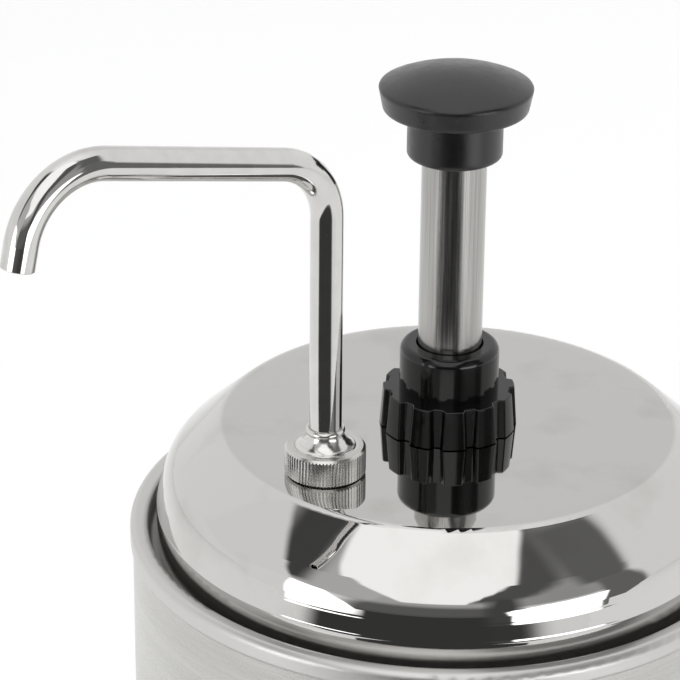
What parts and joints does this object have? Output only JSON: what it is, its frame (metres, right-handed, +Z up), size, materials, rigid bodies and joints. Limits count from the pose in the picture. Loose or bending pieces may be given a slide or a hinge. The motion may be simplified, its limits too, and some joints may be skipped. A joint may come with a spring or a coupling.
{
  "type": "hot fudge topping warmer",
  "caption": "Round counter-top warmer with a heated water vessel, a lift-out jar and a polished domed lid that carries a plunger pump and a swivelling spout.",
  "frame": {"origin": "on the pump's axis, on the counter that the rubber base ring stands on", "axes": "+Z up along the pump's axis, -Y towards the dial at the front, +X to the right seen from the front"},
  "size_m": [0.2156, 0.2197, 0.3841],
  "materials": {
    "rubber": "matt moulded rubber",
    "brushed_shell": "brushed along its circumference",
    "satin_vessel": "drawn, satin, with a bright rim",
    "bottom_sheet": "dull mill finish",
    "plated_fixings": "bright zinc plate",
    "aluminium_plate": "milled",
    "element_sheath": "heat-stained sheath",
    "steel_bar": "mill finish",
    "ceramic": "unglazed white ceramic",
    "black_nylon": "moulded nylon",
    "grey_moulding": "moulded thermoset",
    "copper_probe": "drawn copper",
    "bright_shaft": "turned",
    "black_dial": "moulded, semi-gloss, pale figures",
    "satin_jar": "drawn, satin",
    "polished_lid": "spun and mirror polished",
    "machined_steel": "turned and passivated",
    "gasket_rubber": "moulded rubber",
    "white_seal": "moulded, white",
    "polished_balls": "ground and polished",
    "spring_wire": "drawn wire",
    "brushed_tube": "brushed along its length",
    "black_knob": "moulded, glossy",
    "black_collar": "moulded, glossy",
    "knurled_nut": "turned and knurled",
    "polished_spout": "polished"
  },
  "bodies": {
    "warmer": {"base_ring": "rubber", "outer_shell": "brushed_shell", "water_vessel": "satin_vessel", "bottom_cover": "bottom_sheet", "standoffs": "plated_fixings", "cover_screws": "plated_fixings", "heater_plate": "aluminium_plate", "heating_element": "element_sheath", "clamp_bar": "steel_bar", "clamp_stud": "plated_fixings", "clamp_nut": "plated_fixings", "terminal_block": "ceramic", "terminal_screws": "plated_fixings", "thermostat_saddle": "black_nylon", "thermostat_case": "grey_moulding", "thermostat_screws": "plated_fixings", "thermostat_probe": "copper_probe", "cord_gland": "black_nylon", "gland_nut": "black_nylon"},
    "dial": {"thermostat_dial": "black_dial", "thermostat_shaft": "bright_shaft"},
    "jar": {"jar": "satin_jar"},
    "lid": {"lid": "polished_lid", "pump_cylinder": "machined_steel", "cylinder_gasket": "gasket_rubber", "valve_body": "machined_steel", "valve_gasket": "gasket_rubber", "ball_pin": "plated_fixings", "suction_tube": "machined_steel", "riser_tube": "machined_steel", "spout_fitting": "machined_steel", "fitting_gasket": "gasket_rubber", "spout_o_ring": "gasket_rubber", "return_spring": "spring_wire"},
    "plunger": {"plunger_tube": "brushed_tube", "piston": "machined_steel", "piston_seal": "white_seal", "seal_washer": "machined_steel", "seal_nut": "machined_steel", "knob_stud": "machined_steel", "plunger_knob": "black_knob"},
    "locking_collar": {"locking_collar": "black_collar"},
    "spout_nut": {"spout_nut": "knurled_nut"},
    "spout": {"spout_tube": "polished_spout", "spout_ferrule": "polished_spout"},
    "intake_ball": {"intake_ball": "polished_balls"},
    "outlet_ball": {"outlet_ball": "polished_balls"}
  },
  "joints": [
    {"name": "dial_turn", "type": "hinge", "parent": "warmer", "child": "dial", "pos_m": [0, -0.09825, 0.027], "axis": [0, 1, 0], "range_deg": [0, 300]},
    {"name": "jar_lift", "type": "slide", "parent": "warmer", "child": "jar", "axis": [0, 0, 1], "range_m": [0, 0.19]},
    {"name": "lid_lift", "type": "slide", "parent": "jar", "child": "lid", "axis": [0, 0, 1], "range_m": [0, 0.215]},
    {"name": "plunger_stroke", "type": "slide", "parent": "lid", "child": "plunger", "axis": [0, 0, -1], "range_m": [0, 0.0575], "stiffness_N_per_m": 350, "springref_m": -0.035, "deforming": ["return_spring"]},
    {"name": "collar_turn", "type": "hinge", "parent": "lid", "child": "locking_collar", "pos_m": [0, 0, 0.2645], "axis": [0, 0, 1], "range_deg": [0, 720]},
    {"name": "nut_turn", "type": "hinge", "parent": "lid", "child": "spout_nut", "pos_m": [-0.03536, -0.03536, 0.2645], "axis": [0, 0, 1], "range_deg": [0, 1080]},
    {"name": "spout_swivel", "type": "hinge", "parent": "lid", "child": "spout", "pos_m": [-0.03536, -0.03536, 0.2645], "axis": [0, 0, 1], "range_deg": [-138, 148]},
    {"name": "intake_ball_lift", "type": "slide", "parent": "lid", "child": "intake_ball", "axis": [0, 0, 1], "range_m": [0, 0.003]},
    {"name": "outlet_ball_lift", "type": "slide", "parent": "lid", "child": "outlet_ball", "axis": [0, 0, 1], "range_m": [0, 0.003]}
  ]
}
